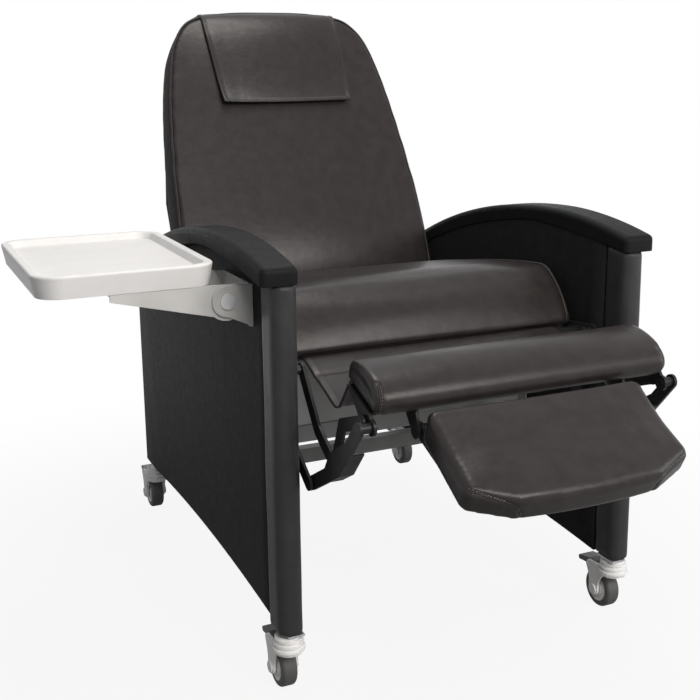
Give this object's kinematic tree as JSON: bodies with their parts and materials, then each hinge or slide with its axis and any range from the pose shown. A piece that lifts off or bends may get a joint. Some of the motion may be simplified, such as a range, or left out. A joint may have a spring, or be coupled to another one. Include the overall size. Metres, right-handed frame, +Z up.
{
  "type": "medical recliner",
  "caption": "Reclining clinic chair on locking casters, with upholstered side panels, arched armrests, linked fold-out legrest and fold-down side tray.",
  "frame": {"origin": "floor point under the middle of the chair's box, with the tray out and the legrest raised", "axes": "+Z up, +Y towards the rear of the chair, +X towards the sitter's left"},
  "size_m": [1.0682, 1.4226, 1.1632],
  "materials": {
    "vinyl_cushion": "satin",
    "vinyl_panel": "satin",
    "urethane": "satin",
    "black_steel": "satin",
    "grey_steel": "satin",
    "tray_steel": "satin",
    "zinc": "satin",
    "push_bar_steel": "gloss",
    "deck_board": "matte",
    "tray_plastic": "satin",
    "caster_plastic": "satin",
    "hub_plastic": "satin",
    "tyre_rubber": "matte",
    "pedal_plastic": "satin"
  },
  "bodies": {
    "base": {"side_panel_left": "vinyl_panel", "side_panel_right": "vinyl_panel", "front_post_left": "vinyl_panel", "front_post_right": "vinyl_panel", "armrest_left": "urethane", "armrest_right": "urethane", "mechanism_plate_left": "black_steel", "mechanism_plate_right": "black_steel", "upper_cross_tube": "grey_steel", "lower_cross_tube": "grey_steel", "frame_bolts": "zinc", "caster_stems": "zinc", "tray_bracket": "tray_steel", "tray_pin": "zinc"},
    "back": {"back_cushion": "vinyl_cushion", "back_panel": "vinyl_panel", "headrest_flap": "vinyl_cushion", "back_bracket_left": "black_steel", "back_bracket_right": "black_steel", "push_bar": "push_bar_steel"},
    "seat": {"seat_cushion": "vinyl_cushion", "seat_deck": "deck_board", "seat_rail_left": "black_steel", "seat_rail_right": "black_steel", "seat_front_plate": "grey_steel", "seat_apron": "vinyl_cushion"},
    "rear_links": {"rear_link_left": "black_steel", "rear_link_right": "black_steel"},
    "front_links": {"front_link_left": "black_steel", "front_link_right": "black_steel"},
    "control_links": {"control_link_left": "black_steel", "control_link_right": "black_steel"},
    "lift_links": {"lift_link_left": "black_steel", "lift_link_right": "black_steel"},
    "calf_rest": {"calf_pad": "vinyl_cushion", "calf_bracket_left": "black_steel", "calf_bracket_right": "black_steel"},
    "leg_rest": {"leg_pad": "vinyl_cushion", "leg_bracket_left": "black_steel", "leg_bracket_right": "black_steel"},
    "tray": {"tray_top": "tray_plastic", "tray_arms": "tray_steel"},
    "caster_front_left": {"caster_fork_front_left": "caster_plastic"},
    "wheel_front_left": {"caster_hub_front_left": "hub_plastic", "caster_tyre_front_left": "tyre_rubber"},
    "pedal_front_left": {"brake_pedal_front_left": "pedal_plastic"},
    "caster_front_right": {"caster_fork_front_right": "caster_plastic"},
    "wheel_front_right": {"caster_hub_front_right": "hub_plastic", "caster_tyre_front_right": "tyre_rubber"},
    "pedal_front_right": {"brake_pedal_front_right": "pedal_plastic"},
    "caster_rear_left": {"caster_fork_rear_left": "caster_plastic"},
    "wheel_rear_left": {"caster_hub_rear_left": "hub_plastic", "caster_tyre_rear_left": "tyre_rubber"},
    "pedal_rear_left": {"brake_pedal_rear_left": "pedal_plastic"},
    "caster_rear_right": {"caster_fork_rear_right": "caster_plastic"},
    "wheel_rear_right": {"caster_hub_rear_right": "hub_plastic", "caster_tyre_rear_right": "tyre_rubber"},
    "pedal_rear_right": {"brake_pedal_rear_right": "pedal_plastic"}
  },
  "joints": [
    {"name": "back_recline", "type": "hinge", "parent": "base", "child": "back", "pos_m": [0.1591, 0.38, 0.47], "axis": [-1, 0, 0], "range_deg": [-10, 40]},
    {"name": "seat_tilt", "type": "hinge", "parent": "base", "child": "seat", "pos_m": [0.1591, 0.185, 0.45], "axis": [-1, 0, 0], "range_deg": [-1.51, 6.01]},
    {"name": "legrest", "type": "hinge", "parent": "seat", "child": "rear_links", "pos_m": [0.1591, -0.192, 0.48], "axis": [1, 0, 0], "range_deg": [0, 84], "deforming": ["seat_apron"]},
    {"name": "knee", "type": "hinge", "parent": "rear_links", "child": "front_links", "pos_m": [0.1591, -0.336, 0.372], "axis": [1, 0, 0], "range_deg": [-84.01, 0.01]},
    {"name": "control", "type": "hinge", "parent": "seat", "child": "control_links", "pos_m": [0.1591, -0.27811, 0.54926], "axis": [1, 0, 0], "range_deg": [-0.01, 84.01]},
    {"name": "calf", "type": "hinge", "parent": "front_links", "child": "calf_rest", "pos_m": [0.1591, -0.52, 0.52], "axis": [1, 0, 0], "range_deg": [-0.01, 69.73]},
    {"name": "lift", "type": "hinge", "parent": "calf_rest", "child": "lift_links", "pos_m": [0.1591, -0.4993, 0.5234], "axis": [1, 0, 0], "range_deg": [-63.01, 0.01]},
    {"name": "leg", "type": "hinge", "parent": "calf_rest", "child": "leg_rest", "pos_m": [0.1591, -0.515, 0.503], "axis": [1, 0, 0], "range_deg": [-10.93, 0.01]},
    {"name": "tray_fold", "type": "hinge", "parent": "base", "child": "tray", "pos_m": [-0.2289, -0.232, 0.665], "axis": [0, -1, 0], "range_deg": [0, 90]},
    {"name": "swivel_front_left", "type": "hinge", "parent": "base", "child": "caster_front_left", "pos_m": [0.4936, -0.331, 0.0875], "axis": [0, 0, 1], "continuous": true},
    {"name": "roll_front_left", "type": "hinge", "parent": "caster_front_left", "child": "wheel_front_left", "pos_m": [0.4936, -0.301, 0.0375], "axis": [1, 0, 0], "continuous": true},
    {"name": "brake_front_left", "type": "hinge", "parent": "caster_front_left", "child": "pedal_front_left", "pos_m": [0.4936, -0.289, 0.0835], "axis": [-1, 0, 0], "range_deg": [0, 16]},
    {"name": "swivel_front_right", "type": "hinge", "parent": "base", "child": "caster_front_right", "pos_m": [-0.1754, -0.331, 0.0875], "axis": [0, 0, 1], "continuous": true},
    {"name": "roll_front_right", "type": "hinge", "parent": "caster_front_right", "child": "wheel_front_right", "pos_m": [-0.1754, -0.301, 0.0375], "axis": [1, 0, 0], "continuous": true},
    {"name": "brake_front_right", "type": "hinge", "parent": "caster_front_right", "child": "pedal_front_right", "pos_m": [-0.1754, -0.289, 0.0835], "axis": [-1, 0, 0], "range_deg": [0, 16]},
    {"name": "swivel_rear_left", "type": "hinge", "parent": "base", "child": "caster_rear_left", "pos_m": [0.4936, 0.54, 0.0875], "axis": [0, 0, 1], "continuous": true},
    {"name": "roll_rear_left", "type": "hinge", "parent": "caster_rear_left", "child": "wheel_rear_left", "pos_m": [0.4936, 0.57, 0.0375], "axis": [1, 0, 0], "continuous": true},
    {"name": "brake_rear_left", "type": "hinge", "parent": "caster_rear_left", "child": "pedal_rear_left", "pos_m": [0.4936, 0.582, 0.0835], "axis": [-1, 0, 0], "range_deg": [0, 16]},
    {"name": "swivel_rear_right", "type": "hinge", "parent": "base", "child": "caster_rear_right", "pos_m": [-0.1754, 0.54, 0.0875], "axis": [0, 0, 1], "continuous": true},
    {"name": "roll_rear_right", "type": "hinge", "parent": "caster_rear_right", "child": "wheel_rear_right", "pos_m": [-0.1754, 0.57, 0.0375], "axis": [1, 0, 0], "continuous": true},
    {"name": "brake_rear_right", "type": "hinge", "parent": "caster_rear_right", "child": "pedal_rear_right", "pos_m": [-0.1754, 0.582, 0.0835], "axis": [-1, 0, 0], "range_deg": [0, 16]}
  ],
  "couplings": [
    {"joint": "seat_tilt", "follows": "back_recline", "ratio": 0.15},
    {"joint": "knee", "follows": "legrest", "ratio": -1},
    {"joint": "control", "follows": "legrest", "ratio": 1},
    {"joint": "calf", "follows": "legrest", "ratio": 0.83},
    {"joint": "lift", "follows": "legrest", "ratio": -0.75},
    {"joint": "leg", "follows": "legrest", "ratio": -0.13}
  ]
}
